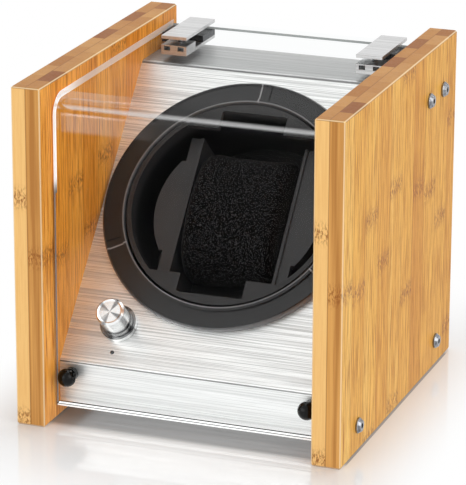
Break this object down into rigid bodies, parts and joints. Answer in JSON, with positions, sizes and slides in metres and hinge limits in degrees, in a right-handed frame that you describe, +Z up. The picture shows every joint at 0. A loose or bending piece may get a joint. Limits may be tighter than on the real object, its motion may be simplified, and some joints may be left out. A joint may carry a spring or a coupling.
{
  "type": "watch winder box",
  "caption": "Upright watch winder: bamboo side panels, sloped brushed-metal front with a turning drum and plush cushion, a selector knob, and a clear bent cover that swings up at the rear.",
  "frame": {"origin": "middle of the floor under the box", "axes": "+Z up, front towards -Y, +X to the right seen from the front"},
  "size_m": [0.1604, 0.166, 0.16],
  "materials": {
    "bamboo": "clear-lacquered laminated bamboo with visible strips and nodes",
    "brushed_aluminium": "fine horizontal brushing, clear anodised",
    "clamp_aluminium": "satin aluminium plate",
    "spun_aluminium": "spun face with fine rings and bright bevels",
    "clear_acrylic": "clear polished acrylic sheet",
    "black_plastic": "satin moulded plastic",
    "black_plush": "short plush with a soft sheen",
    "black_rubber": "smooth moulded rubber",
    "dark_metal": "dark anodised block",
    "bright_steel": "bright plated steel",
    "sheet_steel": "zinc-plated sheet",
    "bronze": "turned bronze or brass",
    "white_nylon": "moulded nylon",
    "black_fitting": "moulded switch and inlet bodies",
    "circuit_board": "solder-masked board",
    "lamp_lens": "clear lamp lens"
  },
  "bodies": {
    "cover": {"clear_cover": "clear_acrylic", "left_hinge_top_plate": "clamp_aluminium", "right_hinge_top_plate": "clamp_aluminium", "left_hinge_bottom_plate": "clamp_aluminium", "right_hinge_bottom_plate": "clamp_aluminium", "left_hinge_lug": "dark_metal", "right_hinge_lug": "dark_metal", "left_hinge_pin": "bright_steel", "right_hinge_pin": "bright_steel", "hinge_spacers": "clamp_aluminium", "hinge_screws": "bright_steel", "left_bumper": "black_rubber", "right_bumper": "black_rubber"},
    "turntable": {"drum_shell": "black_plastic", "watch_cradle": "black_plastic", "drum_shaft": "bright_steel", "thrust_washer": "white_nylon", "shaft_clip": "bright_steel", "drum_gear": "white_nylon"},
    "cushion": {"watch_cushion": "black_plush"},
    "pinion": {"motor_pinion": "white_nylon", "motor_shaft": "bright_steel"},
    "knob": {"selector_knob": "spun_aluminium", "switch_spindle": "bright_steel"},
    "housing": {"left_side_panel": "bamboo", "right_side_panel": "bamboo", "front_fascia": "brushed_aluminium", "rear_cover": "brushed_aluminium", "switch_nut": "spun_aluminium", "bezel_ring": "black_plastic", "drum_cup": "black_plastic", "panel_screws": "bright_steel", "bezel_screws": "bright_steel", "rear_screws": "bright_steel", "plate_screws": "bright_steel", "motor_screws": "bright_steel", "board_screws": "bright_steel", "left_end_frame": "sheet_steel", "right_end_frame": "sheet_steel", "gear_plate": "sheet_steel", "gear_motor": "sheet_steel", "front_bush": "bronze", "rear_bush": "bronze", "left_pivot_bush": "bronze", "right_pivot_bush": "bronze", "plate_posts": "bronze", "board_standoffs": "bronze", "rotary_switch": "black_fitting", "power_jack": "black_fitting", "jack_nut": "black_fitting", "control_board": "circuit_board", "indicator_lamp": "lamp_lens"}
  },
  "joints": [
    {"name": "cover_hinge", "type": "hinge", "parent": "housing", "child": "cover", "pos_m": [0, 0.073, 0.149], "axis": [-1, 0, 0], "range_deg": [0, 95]},
    {"name": "turntable_spin", "type": "hinge", "parent": "housing", "child": "turntable", "pos_m": [0, -0.00835, 0.09054], "axis": [0, -0.749, 0.6626], "continuous": true},
    {"name": "pinion_spin", "type": "hinge", "parent": "housing", "child": "pinion", "pos_m": [0.0321, -0.00835, 0.09054], "axis": [0, -0.749, 0.6626], "continuous": true},
    {"name": "knob_turn", "type": "hinge", "parent": "housing", "child": "knob", "pos_m": [-0.04, -0.05108, 0.04223], "axis": [0, -0.749, 0.6626], "range_deg": [0, 150]},
    {"name": "cushion_pull", "type": "slide", "parent": "turntable", "child": "cushion", "axis": [0, -0.749, 0.6626], "range_m": [0, 0.034]}
  ],
  "couplings": [
    {"joint": "pinion_spin", "follows": "turntable_spin", "ratio": -3}
  ]
}
